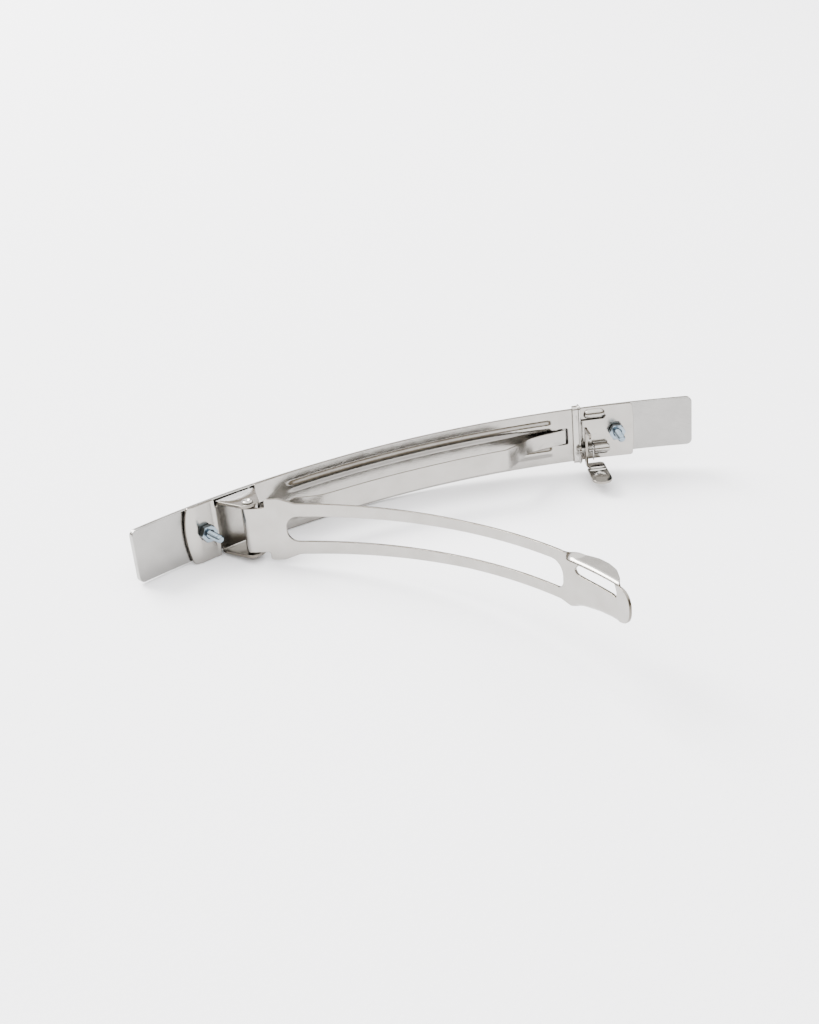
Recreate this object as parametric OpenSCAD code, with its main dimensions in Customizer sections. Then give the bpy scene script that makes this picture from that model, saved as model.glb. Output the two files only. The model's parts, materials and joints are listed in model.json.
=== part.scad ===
// French-clasp bar barrette: a curved cover plate carried on a sprung clip.
// Frame: +X along the clip towards the clasp, +Y out of the plate's show face, +Z across the width.
// The origin is the middle of the show face. The hair side is -Y.

/* [Cover plate] */
// Radius of the show face
plate_r = 158.3; // [150:0.1:170]
// Length of the plate along its show face
plate_len = 127.6; // [124:0.1:130]
// Width of the plate
plate_w = 11; // [10:0.1:12]
// Thickness of the plate
plate_t = 1.0; // [0.8:0.1:1.1]
// Corner radius of the plate
plate_corner = 1.2; // [0.5:0.1:3]

/* [Studs and nuts] */
// Place of the left stud along the show face, from the plate's middle
left_stud_s = -48.3; // [-48.6:0.1:-47]
// Place of the right stud
right_stud_s = 46.7; // [46.5:0.1:47]
// Outer radius of the M1.6 thread
stud_r = 0.8; // [0.7:0.1:1.0]
// Depth of the thread
thread_depth = 0.22; // [0.2:0.02:0.26]
// Length of a stud from the back of the plate
stud_len = 6.8; // [5:0.1:7.5]
// Width of a nut across its flats
nut_af = 3.2; // [3:0.1:4]
// Height of a nut
nut_h = 1.3; // [1.1:0.1:1.6]

/* [Base frame] */
// Radius of the base's hair side
base_r = 141.3; // [140:0.1:145]
// Thickness of the base
base_t = 0.6; // [0.5:0.05:0.7]
// Width of the base
base_w = 12; // [11.6:0.1:12.4]
// Left end of the base, along its hair side
base_left = -51; // [-52:0.1:-50]
// Right end of the base, along its hair side
base_right = 50.3; // [49.8:0.1:51]
// Gap between plate and base at the middle
base_gap = 0.1; // [0.05:0.05:0.2]
// Height of the two stiffening ribs
rib_h = 0.3; // [0.2:0.05:0.4]

/* [Hinge] */
// Place of the hinge along the base
hinge_s = -40.8; // [-41.2:0.1:-40.4]
// Height of the hinge axis over the base
hinge_h = 5.5; // [5.3:0.1:5.7]
// Radius of the hinge pin
pin_r = 0.75; // [0.7:0.05:0.8]
// Distance from the middle to an ear's inner face
ear_in = 5.0; // [5:0.1:5.1]
// Thickness of an ear
ear_t = 0.6; // [0.5:0.05:0.6]

/* [Clamp arm] */
// Radius of the arm's middle surface
arm_r = 78; // [77.5:0.1:78.5]
// Length of the arm from the hinge to the tip
arm_len = 85; // [84.8:0.1:85.2]
// Thickness of the arm
arm_t = 0.55; // [0.5:0.05:0.6]
// Slope of the arm at the hinge when it is shut
shut_slope = 30.4; // [30.2:0.1:30.6]
// How far the arm stands open from shut
open_angle = 55.2; // [0:0.1:95]
// Half width of the arm along its rails
rail_half = 4.75; // [4.6:0.05:4.9]
// Half width of the long slot
slot_half = 2.65; // [2.6:0.05:2.7]
// Half width of the rails where they leave the shoulders
rail_wide = 5.3; // [5.2:0.05:5.4]
// Half width of the arm's cap
cap_half = 3.9; // [3.8:0.05:4]

/* [Tension spring] */
// Thickness of the bow strip
bow_t = 0.4; // [0.3:0.05:0.45]
// Half width of the bow strip
bow_half = 2.25; // [2.1:0.05:2.3]
// Half width of the bow's tongues
tongue_half = 1.6; // [1.4:0.05:1.7]

/* [Clasp] */
// Place of the clasp's middle along the base
clasp_s = 41; // [40.8:0.1:41.1]
// Height of the lever's pivot over the base
lever_h = 1.1; // [1.1:0.05:1.15]
// Distance of the lever's pivot below the clip's middle
lever_z = -3.2; // [-3.3:0.05:-3.1]
// Height of the finger tab's end over the base
tab_h = 10.3; // [9:0.1:11]
// Height of the hook's top over the base
hook_h = 6.5; // [6.4:0.05:6.7]

/* [Hidden] */

nickel = "Silver";
satin = "Gainsboro";
zinc = "LightSteelBlue";
arc_fn = 720;    // segments in a full turn of a large radius
round_fn = 48;   // segments in a full turn of a small radius
eps = 0.02;      // working clearance between pieces that are fixed together
cut = 4;         // reach of a cutting tool through a sheet

base_cy = plate_t + base_gap + base_t + base_r;   // distance of the base's centre behind the origin
nut_gap = 0.1;                                    // clearance under a nut
stud_hole_r = stud_r + 0.15;
root_r = stud_r - thread_depth;                   // a nut and its stud meet at the thread's root
knuckle_r = pin_r + 0.07;                         // bore of the arm's rolled knuckle
knuckle_mid = knuckle_r + arm_t / 2 + 0.05;      // the strip stands a little proud of the knuckle
neck_half = ear_in - 0.3;
rest_slope = shut_slope - open_angle;             // slope of the arm at the hinge, as modelled
pin_x = (base_r - hinge_h) * sin(turn(hinge_s, base_r));
pin_y = (base_r - hinge_h) * cos(turn(hinge_s, base_r)) - base_cy;
bow_anchor = 34.3;                                // place of each bow slot along the base
lever_pin_r = 0.5;
lever_head_r = 0.75;
web_t = 0.5;                                      // thickness of the lever's sheet
web_x = -2.25;                                    // left side of the lever's web, from the clasp's middle
band_ear_x = -3.4;                                // left side of the band's ear
barrel_right = 3;                                 // right end of the rolled barrel
window_in = 1.2;                                  // lower edge of the arm's catch window
flange_t = 0.5;                                   // thickness of the cap's side flanges
window_out = cap_half - flange_t;                 // upper edge of the window, at the flange
window_u0 = 69.8;                                 // window's ends along the arm
window_u1 = 80.6;
upper_hump = 3.3;                                 // depth of each cap flange below the arm's middle surface
lower_hump = 1.5;                                 // the lower one clears the lever
hump_half = 6.95;                                 // half length of a cap flange

// Angle of an arc length s on a radius r, in degrees
function turn(s, r) = s / r * 180 / PI;

// Puts children on the show face at arc length s, a depth off towards the hair side
module on_plate(s, off) {
    translate([0, -plate_r, 0]) rotate([0, 0, -turn(s, plate_r)]) translate([0, plate_r - off, 0]) children();
}

// Puts children on the base's hair side at arc length s; -Y is then height over the base
module on_base(s) {
    translate([0, -base_cy, 0]) rotate([0, 0, -turn(s, base_r)]) translate([0, base_r, 0]) children();
}

// Puts children on the hinge axis, which runs along Z
module on_pin() {
    translate([pin_x, pin_y, 0]) children();
}

// Puts children on the arm's middle surface at arc length u from the hinge; +Y faces the base
module on_arm(u) {
    arm_frame() rotate([0, 0, rest_slope - turn(u, arm_r)]) translate([0, arm_r, 0]) children();
}

// Centre of the arm's arc, in the rest position
module arm_frame() {
    reach = arm_r + knuckle_mid;
    translate([pin_x + reach * sin(rest_slope), pin_y - reach * cos(rest_slope), 0]) children();
}

// Part of a ring between two polar angles: inner radius r, thickness t, between heights z0 and z1
module ring(r, t, z0, z1, a0, a1) {
    rotate([0, 0, a0]) rotate_extrude(angle = a1 - a0, $fn = arc_fn) translate([r, z0]) square([t, z1 - z0]);
}

// Strip of the base's sheet between arc lengths s0 and s1; lift raises it over the hair side
module base_strip(s0, s1, z0, z1, lift = 0, t = base_t) {
    translate([0, -base_cy, 0])
        ring(base_r - lift, t, z0, z1, 90 - turn(s1, base_r), 90 - turn(s0, base_r));
}

// Strip of the arm's sheet between arc lengths u0 and u1
module arm_strip(u0, u1, z0, z1, t = arm_t) {
    arm_frame()
        ring(arm_r - t / 2, t, z0, z1, 90 + rest_slope - turn(u1, arm_r), 90 + rest_slope - turn(u0, arm_r));
}

// Tool that rounds a sheet's corner at the local origin; sx and sz point out of the sheet
module corner_tool(rad, sx, sz) {
    difference() {
        cube([2 * rad, cut, 2 * rad], center = true);
        translate([-sx * rad, 0, -sz * rad]) rotate([90, 0, 0])
            cylinder(r = rad, h = cut + 1, center = true, $fn = round_fn);
    }
}

// Rod along the clip, from x0 to x1 in the clasp's frame
module rod_x(r, x0, x1) {
    translate([x0, -lever_h, lever_z]) rotate([0, 90, 0]) cylinder(r = r, h = x1 - x0, $fn = round_fn);
}

// Curved plate whose show face carries the decoration
module cover_plate() {
    half_turn = turn(plate_len / 2, plate_r);
    color(satin) difference() {
        translate([0, -plate_r, 0])
            ring(plate_r - plate_t, plate_t, -plate_w / 2, plate_w / 2, 90 - half_turn, 90 + half_turn);
        for (sx = [-1, 1], sz = [-1, 1])
            on_plate(sx * plate_len / 2, 0) translate([0, 0, sz * plate_w / 2])
                corner_tool(plate_corner, sx, sz);
    }
}

// Threaded stud fixed to the back of the plate: weld flange, shank under the nut, free thread and tip
module stud(s) {
    flange_r = 1.5;
    flange_t = 0.3;
    tip = 0.3;
    thread_from = nut_seat(s) + nut_h + eps;
    color(zinc) on_plate(s, plate_t + eps) rotate([90, 0, 0]) {
        cylinder(r = flange_r, h = flange_t, $fn = round_fn);
        cylinder(r = root_r, h = stud_len - tip, $fn = round_fn);
        translate([0, 0, thread_from]) cylinder(r = stud_r, h = stud_len - tip - thread_from, $fn = round_fn);
        translate([0, 0, stud_len - tip]) cylinder(r1 = stud_r, r2 = stud_r - tip, h = tip, $fn = round_fn);
    }
}

// Height of a nut's seat over the back of the plate, on the stud's axis
function nut_seat(s) = let (x = plate_r * sin(turn(s, plate_r)))
    (sqrt(pow(plate_r - plate_t, 2) - x * x) - plate_r
        - (sqrt(base_r * base_r - x * x) - base_cy)) * cos(turn(s, plate_r)) + nut_gap;

// Hexagonal nut that holds the base on its stud
module nut(s) {
    color(zinc) on_plate(s, plate_t + nut_seat(s)) rotate([90, 0, 0]) difference() {
        cylinder(r = nut_af / sqrt(3), h = nut_h, $fn = 6);
        translate([0, 0, -1]) cylinder(r = root_r + eps, h = nut_h + 2, $fn = round_fn);
    }
}

// One hinge ear, drawn in the plane of the clip's length and height
module ear_outline() {
    root = 0.35;          // how deep the ear goes into the sheet
    foot_left = 3.8;      // reach of the ear's foot on each side of the pin
    foot_right = 4.7;
    foot_h = 0.9;
    top_r = 1.7;
    neck = top_r - 0.15;
    shoulder_h = hinge_h + 0.7;
    polygon([[-foot_left, root], [foot_right, root], [foot_right, -foot_h], [neck, -shoulder_h],
        [-neck, -shoulder_h], [-foot_left + 0.2, -foot_h]]);
    translate([0, -hinge_h]) circle(r = top_r, $fn = round_fn);
}

// Two ears folded up from the base, with the pin's holes
module hinge_ears() {
    on_base(hinge_s) difference() {
        for (z = [ear_in, -ear_in - ear_t]) translate([0, 0, z]) linear_extrude(ear_t) ear_outline();
        translate([0, -hinge_h, 0]) cylinder(r = pin_r + eps, h = 2 * base_w, center = true, $fn = round_fn);
    }
}

// Barrel rolled from the base, which holds the lever's pin
module lever_barrel() {
    outer = 0.95;
    left = -0.05;
    sheet = 0.75;     // thickness of the rolled lip's root
    difference() {
        union() {
            rod_x(outer, left, barrel_right);
            translate([left, -lever_h, lever_z + outer - sheet])
                cube([barrel_right - left, lever_h + base_t / 2, sheet]);
        }
        rod_x(lever_pin_r + eps, left - 1, barrel_right + 1);
    }
}

// Lanced guide that the cap's upper flange drops beside
module guide_lug() {
    lug_r = 0.85;
    lug_z = 4.45;
    lug_x0 = -1.6;
    lug_x1 = 2.35;
    half_space = 10;
    intersection() {
        union() {
            translate([lug_x0, 0, lug_z]) rotate([0, 90, 0])
                cylinder(r = lug_r, h = lug_x1 - lug_x0, $fn = round_fn);
            translate([lug_x1, 0, lug_z]) sphere(r = lug_r, $fn = round_fn);
        }
        translate([-half_space / 2, base_t / 2 - half_space, 0]) cube(half_space);
    }
}

// Stamped frame of the clip: ears, ribs, spring slots, stud holes and the clasp's seats
module base_frame() {
    notch_left = hinge_s - 4.2;      // ends of the narrower stretch beside the ears
    notch_right = hinge_s + 5.1;
    notch_edge = ear_in + ear_t + 0.05;
    rib_z = 3;
    rib_half = 0.7;
    rib_left = -29;
    rib_right = 32;
    rib_root = 0.1;
    bow_slot = [2.4, cut, 2 * tongue_half + 0.5];
    lug_slot = [4.6, cut, 0.5];      // openings left by the lanced lug and the rolled barrel
    barrel_slot = [2.6, cut, 0.7];
    left_corner = 0.9;
    right_corner = 1.5;
    color(nickel) union() {
        difference() {
            base_strip(base_left, base_right, -base_w / 2, base_w / 2);
            for (s = [left_stud_s, right_stud_s])
                on_plate(s, 0) rotate([90, 0, 0]) cylinder(r = stud_hole_r, h = cut, $fn = round_fn);
            for (sz = [-1, 1]) {
                on_base(base_left) translate([0, 0, sz * base_w / 2]) corner_tool(left_corner, -1, sz);
                on_base(base_right) translate([0, 0, sz * base_w / 2]) corner_tool(right_corner, 1, sz);
                on_base((notch_left + notch_right) / 2) translate([0, 0, sz * (notch_edge + cut / 2)])
                    cube([notch_right - notch_left, cut, cut], center = true);
            }
            for (s = [-bow_anchor, bow_anchor]) on_base(s) cube(bow_slot, center = true);
            on_base(clasp_s) translate([0.7, 0, 3.3]) cube(lug_slot, center = true);
            on_base(clasp_s) translate([1.3, 0, -4.55]) cube(barrel_slot, center = true);
        }
        for (z = [-rib_z, rib_z])
            base_strip(rib_left, rib_right, z - rib_half, z + rib_half, rib_h, rib_h + rib_root);
        hinge_ears();
        on_base(clasp_s) lever_barrel();
        on_base(clasp_s) guide_lug();
    }
}

// The bow's middle surface: arc length along the base, and height over it
bow_top = 7.3;
bow_profile = [[-34.9, -0.15], [-33.4, 0.7], [-24.6, 6.35], [-22.2, 6.8], [-11, 7.1], [0, bow_top], [11, 7.4],
    [19.2, 7.5], [21.2, 6.3], [26.2, 2.15], [28.6, 1.35], [33.2, 0.35], [34.9, -0.15]];

// A point over the base's hair side, in the frame
function over_base(s, h) =
    [(base_r - h) * sin(turn(s, base_r)), (base_r - h) * cos(turn(s, base_r)) - base_cy];

// The bow seen from above, as an even strip
module bow_outline() {
    polygon(concat([for (p = bow_profile) over_base(p[0], p[1] + bow_t / 2)],
        [for (i = [len(bow_profile) - 1:-1:0]) over_base(bow_profile[i][0], bow_profile[i][1] - bow_t / 2)]));
}

// Arched leaf spring whose tongues stand in the base's slots
module tension_spring() {
    reach = 40;
    wide_left = -29;   // where the strip narrows to its tongues
    wide_right = 20.4;
    color(nickel) linear_extrude(2 * tongue_half, center = true) bow_outline();
    color(nickel) intersection() {
        linear_extrude(2 * bow_half, center = true) bow_outline();
        translate([wide_left, -reach, -reach]) cube([wide_right - wide_left, 2 * reach, 2 * reach]);
    }
}

// Band clinched round the base, with the ear that carries the head of the lever's pin
module catch_band() {
    band_x0 = -4.4;
    band_w = 1.8;
    band_t = 0.5;
    seat = 0.08;
    leg_in = base_w / 2 + 0.05;
    leg_t = 0.4;
    wrap = 0.9;
    ear_r = 0.95;
    color(nickel) on_base(clasp_s) difference() {
        union() {
            translate([band_x0, -seat - band_t, -leg_in - leg_t])
                cube([band_w, band_t, 2 * (leg_in + leg_t)]);
            for (z = [leg_in, -leg_in - leg_t]) translate([band_x0, -seat - band_t, z])
                cube([band_w, band_t + seat + wrap, leg_t]);
            rod_x(ear_r, band_ear_x, band_ear_x + web_t);
            translate([band_ear_x, -lever_h, lever_z - ear_r]) cube([web_t, lever_h - seat, 2 * ear_r]);
        }
        rod_x(lever_pin_r + eps, band_ear_x - 1, band_ear_x + 1);
        rod_x(lever_head_r + eps, band_ear_x - 2, band_ear_x);
    }
}

// Lever: a finger tab outside the base, and a web that carries the hook under the arm
module release_lever() {
    tab_half = 2.15;
    tab_mid = -0.2;
    tab_z = -6.45;
    tab_foot = 0.9;
    tab_lean = 5;
    bead_r = 0.3;
    color(nickel) on_base(clasp_s) difference() {
        union() {
            translate([web_x, 0, 0]) rotate([90, 0, 90]) linear_extrude(web_t) web_outline();
            translate([0, -tab_foot, tab_z]) rotate([tab_lean, 0, 0]) mirror([0, 0, 1]) {
                linear_extrude(web_t) {
                    translate([tab_mid - tab_half, tab_half + tab_foot - tab_h])
                        square([2 * tab_half, tab_h - tab_foot - tab_half]);
                    translate([tab_mid, tab_half + tab_foot - tab_h]) circle(r = tab_half, $fn = round_fn);
                }
                for (h = [2.2, 3.4]) translate([tab_mid - tab_half, -h, web_t]) rotate([0, 90, 0])
                    cylinder(r = bead_r, h = 2 * tab_half, $fn = round_fn);
            }
        }
        rod_x(lever_pin_r + 0.06, web_x - 1, web_x + 1);
    }
}

// The lever's web and hook, as height over the base (negative) and place across the width
module web_outline() {
    hub_r = 0.9;
    post_in = 1.6;
    post_out = 2.35;
    nose = 0.75;
    nose_h = 0.65;
    web_top = 2.6;
    web_low = 1.55;
    tab_in = -6.9;
    polygon([[-1.0, tab_in], [-0.9, -4.4], [-0.35, lever_z - 0.4], [-0.45, lever_z + 0.5], [-web_low, -1.2],
        [-web_low - 0.25, post_out], [-hook_h, post_out], [-hook_h, post_in],
        [-hook_h + nose_h, post_in - nose], [-hook_h + nose_h, post_in], [-web_top, post_in - 0.3],
        [-web_top + 0.3, tab_in + 0.15], [-web_top + 0.3, tab_in]]);
    translate([-lever_h, lever_z]) circle(r = hub_r, $fn = round_fn);
}

// Pin on which the lever turns, peened at both ends
module lever_pin() {
    head_t = 0.35;
    left = band_ear_x - eps;
    right = barrel_right + eps;
    color(nickel) on_base(clasp_s) {
        rod_x(lever_pin_r, left - head_t, right + head_t);
        rod_x(lever_head_r, left - head_t, left);
        rod_x(lever_head_r, right, right + head_t);
    }
}

// Torsion spring on the lever's pin: its coils and two legs
module lever_spring() {
    wire_r = 0.14;
    coil_r = lever_pin_r + 0.1 + wire_r;
    first = -1.5;
    coils = 4;
    pitch = 0.33;
    lap = 1.25;       // the closed rings are fatter than the wire, so that they touch
    leg = 2.3;
    last = first + (coils - 1) * pitch;
    color(nickel) on_base(clasp_s) {
        translate([0, -lever_h, lever_z]) rotate([0, 90, 0]) {
            for (i = [0:coils - 1]) translate([0, 0, first + i * pitch])
                rotate_extrude($fn = round_fn) translate([coil_r, 0])
                    circle(r = wire_r * lap, $fn = round_fn);
        }
        translate([first, -lever_h - coil_r, lever_z]) mirror([0, 0, 1])
            cylinder(r = wire_r, h = leg, $fn = round_fn);
        translate([last, -lever_h + coil_r, lever_z]) cylinder(r = wire_r, h = leg, $fn = round_fn);
    }
}

// Outline of the neck and the shoulders beside the hinge, along the arm and across it
module shoulder_outline() {
    wide = 6.5;
    nip = 0.6;        // cut corners towards the hinge
    neck = 10;
    polygon([[-neck, -neck_half], [-2 - nip, -neck_half], [-2 - nip, nip - wide], [-2, -wide], [1.2, -wide],
        [3.2, -rail_wide], [3.2, rail_wide], [1.2, wide], [-2, wide], [-2 - nip, wide - nip],
        [-2 - nip, neck_half], [-neck, neck_half]]);
}

// Side flange of the cap: a hump that hangs from the arm's middle surface towards the base
module cap_flange(depth) {
    hump_r = (hump_half * hump_half + depth * depth) / (2 * depth);
    linear_extrude(flange_t) difference() {
        translate([0, depth - hump_r]) circle(r = hump_r, $fn = 4 * round_fn);
        translate([0, -arm_r]) circle(r = arm_r, $fn = arc_fn);
    }
}

// Tool that trims one side of the arm to its rail width
module arm_trim(u0, u1, sz) {
    z0 = sz > 0 ? rail_half : -rail_half - 2;
    arm_strip(u0, u1, z0, z0 + 2, cut);
}

// Clamp arm: rolled knuckle, shoulders, slotted rails and the flanged cap with its catch window
module clamp_arm() {
    shoulder_mid = 6;
    rails_start = 8;
    slot_end = 66.8;
    slot_end_r = slot_half + 0.03;
    cap_start = 68.4;
    cap_mid = 74.25;
    tip_round = 3.2;
    cap_lap = 0.6;        // how far the cap's sheet runs back into the rails
    cap_angle = 32;       // slope of the edges where the rails narrow to the cap
    taper_mid = 26;       // middle and half length of the stretch over which the rails narrow
    taper_half = 19;
    taper_angle = atan((rail_wide - rail_half) / (2 * taper_half));
    color(nickel) difference() {
        union() {
            on_pin() cylinder(r = knuckle_r + arm_t, h = 2 * neck_half, center = true, $fn = round_fn);
            intersection() {
                arm_strip(0, rails_start + 1.2, -base_w, base_w);
                on_arm(shoulder_mid) rotate([90, 0, 0]) linear_extrude(cut, center = true) shoulder_outline();
            }
            difference() {
                arm_strip(rails_start, cap_start, -rail_wide, rail_wide);
                for (sz = [-1, 1]) {
                    on_arm(taper_mid) translate([0, 0, sz * (rail_wide + rail_half) / 2])
                        rotate([0, sz * taper_angle, 0]) translate([0, 0, sz])
                        cube([2 * taper_half, 2 * cut, 2], center = true);
                    arm_trim(taper_mid + taper_half - 0.5, cap_start + 1, sz);
                    on_arm(cap_start) translate([0, 0, sz * cap_half]) rotate([0, sz * cap_angle, 0])
                        translate([1, 0, sz]) cube([6, cut, 2], center = true);
                }
            }
            arm_strip(cap_start - cap_lap, arm_len, -cap_half, cap_half);
            on_arm(cap_mid) translate([0, 0, window_out]) cap_flange(upper_hump);
            on_arm(cap_mid) translate([0, 0, -cap_half]) cap_flange(lower_hump);
        }
        on_pin() cylinder(r = knuckle_r, h = 4 * neck_half, center = true, $fn = round_fn);
        arm_strip(rails_start + slot_half, slot_end - slot_half, -slot_half, slot_half, cut);
        for (u = [rails_start + slot_half, slot_end - slot_half])
            on_arm(u) rotate([90, 0, 0]) cylinder(r = slot_end_r, h = cut, center = true, $fn = round_fn);
        arm_strip(window_u0, window_u1, window_in, window_out, 1);
        for (sz = [-1, 1]) on_arm(arm_len) translate([0, 0, sz * cap_half]) corner_tool(tip_round, 1, sz);
    }
}

// Pin through the ears and the knuckle, peened outside each ear
module hinge_pin() {
    head_r = 1.1;
    head_t = 0.45;
    end = ear_in + ear_t + eps;
    color(nickel) on_pin() {
        cylinder(r = pin_r, h = 2 * end, center = true, $fn = round_fn);
        for (z = [end, -end - head_t]) translate([0, 0, z]) cylinder(r = head_r, h = head_t, $fn = round_fn);
    }
}

cover_plate();
stud(left_stud_s);  // left_stud
stud(right_stud_s);  // right_stud
nut(left_stud_s);  // left_nut
nut(right_stud_s);  // right_nut
base_frame();
tension_spring();
catch_band();
release_lever();
lever_pin();
lever_spring();
clamp_arm();
hinge_pin();
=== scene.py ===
# French-clasp bar barrette: detailed sheet-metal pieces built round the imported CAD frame.
#
# Shapes are worked out in millimetres and written to the meshes in metres. A stamped piece is drawn flat, as
# an outline in (u, v) with holes, given its thickness and rounded edges, and then bent to its place. Its flat
# coordinates are u along the strip, v across it (the clip's Z) and n out of the sheet towards the hair side.
# Along the clip, s is arc length from its middle and h is height over the base on the hair side (-Y).
import json
import math

import bpy
import numpy as np
from mathutils import Matrix, Vector
from mathutils.geometry import delaunay_2d_cdt


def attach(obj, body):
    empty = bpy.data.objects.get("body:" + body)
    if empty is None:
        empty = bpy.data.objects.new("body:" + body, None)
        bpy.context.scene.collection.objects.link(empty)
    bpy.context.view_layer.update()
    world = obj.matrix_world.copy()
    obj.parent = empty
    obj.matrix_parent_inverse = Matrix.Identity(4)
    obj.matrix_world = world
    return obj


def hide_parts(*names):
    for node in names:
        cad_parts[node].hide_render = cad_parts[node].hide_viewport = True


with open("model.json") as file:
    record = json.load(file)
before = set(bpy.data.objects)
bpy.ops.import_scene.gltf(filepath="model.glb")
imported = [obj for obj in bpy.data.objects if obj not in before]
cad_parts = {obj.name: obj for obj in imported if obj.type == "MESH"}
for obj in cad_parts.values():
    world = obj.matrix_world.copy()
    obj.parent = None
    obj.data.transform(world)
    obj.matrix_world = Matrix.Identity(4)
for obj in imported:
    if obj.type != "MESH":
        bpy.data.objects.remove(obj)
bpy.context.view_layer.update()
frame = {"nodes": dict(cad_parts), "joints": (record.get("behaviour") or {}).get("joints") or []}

MM = 0.001
JOINTS = {joint["name"]: joint for joint in frame["joints"]}

# Cover plate
PLATE_R = 158.3
PLATE_HALF = 63.8
PLATE_T = 1.0
PLATE_HALF_W = 5.5

# Studs and nuts: M1.6
LEFT_STUD_S = -48.3
RIGHT_STUD_S = 46.7
STUD_LEN = 6.8
THREAD_R = 0.8
THREAD_DEPTH = 0.2
THREAD_PITCH = 0.35
NUT_AF = 3.2
NUT_H = 1.3
NUT_GAP = 0.1

# Base frame
BASE_R = 141.3
BASE_CY = 143.0
BASE_T = 0.6
BASE_LEFT = -51.0
BASE_RIGHT = 50.0
BASE_HALF_W = 6.0
BOW_SLOT_S = 34.3

# Hinge
HINGE_S = -40.8
HINGE_H = 5.5
EAR_IN = 5.0
PIN_R = 0.75
PIN = Vector(JOINTS["arm_swing"]["pos_m"]) / MM

# Clamp arm
ARM_R = 78.0
ARM_T = 0.55
SHUT_SLOPE = 30.4
REST_SLOPE = math.radians(SHUT_SLOPE + JOINTS["arm_swing"]["range_deg"][0])
KNUCKLE_PLAY = 0.12
KNUCKLE_MID = PIN_R + KNUCKLE_PLAY + ARM_T / 2

# Tension spring
BOW_T = 0.4
BOW_PROFILE = [(-34.9, -0.15), (-33.4, 0.7), (-24.6, 6.35), (-22.2, 6.8), (-11, 7.1), (0, 7.3), (11, 7.4),
               (19.2, 7.5), (21.2, 6.3), (26.2, 2.15), (28.6, 1.35), (33.2, 0.35), (34.9, -0.15)]

# Clasp, in a frame whose x runs along the clip from the clasp's middle and whose h is height over the base
CLASP_S = 41.0
LEVER_H = 1.1
LEVER_Z = -3.2
LEVER_PIN_R = 0.5
PIN_PLAY = 0.03


# Outlines

def fillet(corners, turn=math.radians(15)):
    """A closed outline through corners (u, v, radius), each rounded by its own radius."""
    points = []
    count = len(corners)
    for i in range(count):
        before = np.array(corners[i - 1][:2], float)
        here = np.array(corners[i][:2], float)
        after = np.array(corners[(i + 1) % count][:2], float)
        radius = corners[i][2]
        a = (before - here) / np.linalg.norm(before - here)
        b = (after - here) / np.linalg.norm(after - here)
        angle = math.acos(max(-1.0, min(1.0, float(a @ b))))
        if radius <= 0 or angle > math.pi - 1e-3:
            points.append(tuple(here))
            continue
        reach = min(radius / math.tan(angle / 2), 0.49 * np.linalg.norm(before - here),
                    0.49 * np.linalg.norm(after - here))
        radius = reach * math.tan(angle / 2)
        middle = (a + b) / np.linalg.norm(a + b)
        centre = here + middle * radius / math.sin(angle / 2)
        start = here + a * reach - centre
        swing = math.pi - angle
        if a[0] * b[1] - a[1] * b[0] > 0:
            swing = -swing
        steps = max(2, math.ceil(abs(swing) / turn))
        for k in range(steps + 1):
            t = swing * k / steps
            points.append((centre[0] + start[0] * math.cos(t) - start[1] * math.sin(t),
                           centre[1] + start[0] * math.sin(t) + start[1] * math.cos(t)))
    return points


def refine(points, step):
    """The same closed outline with no edge longer than step."""
    out = []
    for i, p in enumerate(points):
        q = points[(i + 1) % len(points)]
        parts = max(1, math.ceil(math.dist(p, q) / step))
        out += [(p[0] + (q[0] - p[0]) * k / parts, p[1] + (q[1] - p[1]) * k / parts) for k in range(parts)]
    return out


def circle(u, v, r, count=24):
    """A round hole's outline, clockwise, with the material on its left."""
    return [(u + r * math.cos(-2 * math.pi * k / count), v + r * math.sin(-2 * math.pi * k / count))
            for k in range(count)]


def slot(u0, u1, v0, v1, radius):
    """A rectangular hole with rounded corners, clockwise."""
    return fillet([(u0, v0, radius), (u0, v1, radius), (u1, v1, radius), (u1, v0, radius)])


def edge_frames(points):
    """For each point of a closed outline: the unit vector out of the material and its miter length."""
    p = np.array(points, float)
    ahead = np.roll(p, -1, 0) - p
    ahead /= np.linalg.norm(ahead, axis=1)[:, None]
    out_ahead = np.stack([ahead[:, 1], -ahead[:, 0]], 1)
    out = out_ahead + np.roll(out_ahead, 1, 0)
    out /= np.linalg.norm(out, axis=1)[:, None]
    miter = 1 / np.clip((out * out_ahead).sum(1), 0.4, 1)
    return p, out, miter


def inside(grid, loop):
    """Which grid points lie inside a closed outline."""
    x, y = grid[:, 0], grid[:, 1]
    found = np.zeros(len(grid), bool)
    p = np.array(loop, float)
    q = np.roll(p, -1, 0)
    for (x0, y0), (x1, y1) in zip(p, q):
        if y0 != y1:
            found ^= ((y0 > y) != (y1 > y)) & (x < (x1 - x0) * (y - y0) / (y1 - y0) + x0)
    return found


def clear_of(grid, loops, gap):
    """Which grid points are at least gap from every outline."""
    keep = np.ones(len(grid), bool)
    for loop in loops:
        p = np.array(loop, float)
        q = np.roll(p, -1, 0)
        for a, b in zip(p, q):
            near = np.all(grid > np.minimum(a, b) - gap, 1) & np.all(grid < np.maximum(a, b) + gap, 1) & keep
            if near.any():
                d = b - a
                t = np.clip(((grid[near] - a) @ d) / (d @ d), 0, 1)
                distance = np.linalg.norm(grid[near] - a - t[:, None] * d, axis=1)
                keep[np.flatnonzero(near)[distance < gap]] = False
    return keep


# Meshes

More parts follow.
